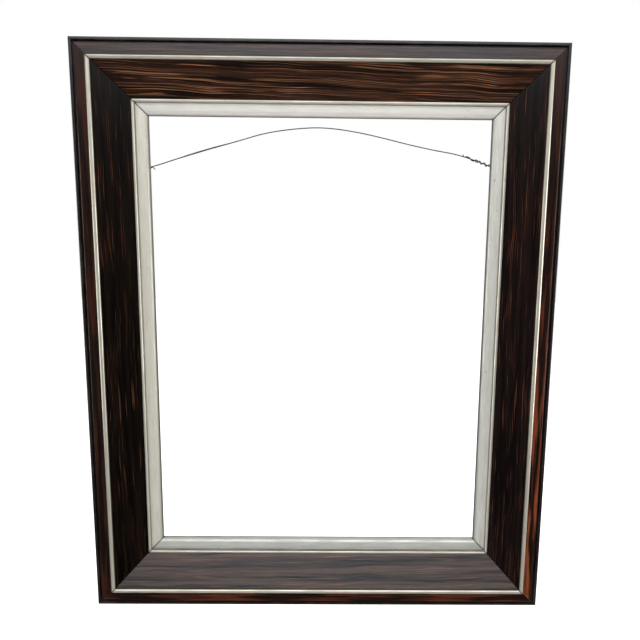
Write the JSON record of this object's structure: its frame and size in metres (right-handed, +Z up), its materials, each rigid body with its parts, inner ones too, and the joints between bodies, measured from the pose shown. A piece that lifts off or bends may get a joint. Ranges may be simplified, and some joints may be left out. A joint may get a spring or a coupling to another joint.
{
  "type": "picture frame",
  "caption": "Rectangular picture frame with a dark veneered sloping panel, silver half-round beads, a silver liner, and an arched hanging wire tied to ringed strap hangers.",
  "frame": {"origin": "the middle of the hanging wire at its highest point, where a wall hook carries the frame", "axes": "+Z up, +X along the top rail to the right as seen from the front, +Y out of the back towards the wall; the front faces -Y"},
  "size_m": [0.612, 0.0478, 0.746],
  "materials": {
    "core_wood": "planed softwood, sealed",
    "ebonised_wood": "ebonised, satin wax",
    "band_wood": "dark stained hardwood, French polished",
    "striped_veneer": "streaked dark veneer, French polished",
    "silver_leaf": "burnished silver leaf on wood",
    "liner_silver": "toned silver leaf on wood",
    "bright_steel": "bright mild steel",
    "plated_steel": "nickel plated sheet and wire",
    "screw_steel": "yellow zinc plated",
    "wire_steel": "twisted galvanised steel strands, dulled"
  },
  "bodies": {
    "frame": {"top_core": "core_wood", "top_edge_strip": "ebonised_wood", "top_outer_band": "band_wood", "top_crest_bead": "silver_leaf", "top_face_veneer": "striped_veneer", "top_inner_bead": "silver_leaf", "top_liner": "liner_silver", "bottom_core": "core_wood", "bottom_edge_strip": "ebonised_wood", "bottom_outer_band": "band_wood", "bottom_crest_bead": "silver_leaf", "bottom_face_veneer": "striped_veneer", "bottom_inner_bead": "silver_leaf", "bottom_liner": "liner_silver", "left_core": "core_wood", "left_edge_strip": "ebonised_wood", "left_outer_band": "band_wood", "left_crest_bead": "silver_leaf", "left_face_veneer": "striped_veneer", "left_inner_bead": "silver_leaf", "left_liner": "liner_silver", "right_core": "core_wood", "right_edge_strip": "ebonised_wood", "right_outer_band": "band_wood", "right_crest_bead": "silver_leaf", "right_face_veneer": "striped_veneer", "right_inner_bead": "silver_leaf", "right_liner": "liner_silver", "corner_v_nails": "bright_steel", "liner_v_nails": "bright_steel", "liner_brads": "bright_steel", "left_strap_hanger": "plated_steel", "left_hanger_screws": "screw_steel", "right_strap_hanger": "plated_steel", "right_hanger_screws": "screw_steel"},
    "left_ring": {"left_ring": "plated_steel"},
    "right_ring": {"right_ring": "plated_steel"},
    "wire": {"hanging_wire": "wire_steel", "left_wire_loop": "wire_steel", "right_wire_loop": "wire_steel", "left_wire_wrap": "wire_steel", "right_wire_wrap": "wire_steel"}
  },
  "joints": [
    {"name": "left_ring_swing", "type": "hinge", "parent": "frame", "child": "left_ring", "pos_m": [-0.26, -0.00115, -0.07645], "axis": [-1, 0, 0], "range_deg": [0, 90]},
    {"name": "right_ring_swing", "type": "hinge", "parent": "frame", "child": "right_ring", "pos_m": [0.26, -0.00115, -0.07645], "axis": [-1, 0, 0], "range_deg": [0, 90]},
    {"name": "wire_swing", "type": "hinge", "parent": "left_ring", "child": "wire", "pos_m": [-0.26, 0, -0.063], "axis": [-1, 0, 0], "range_deg": [0, 85]}
  ],
  "couplings": [
    {"joint": "right_ring_swing", "follows": "left_ring_swing", "ratio": 1}
  ]
}
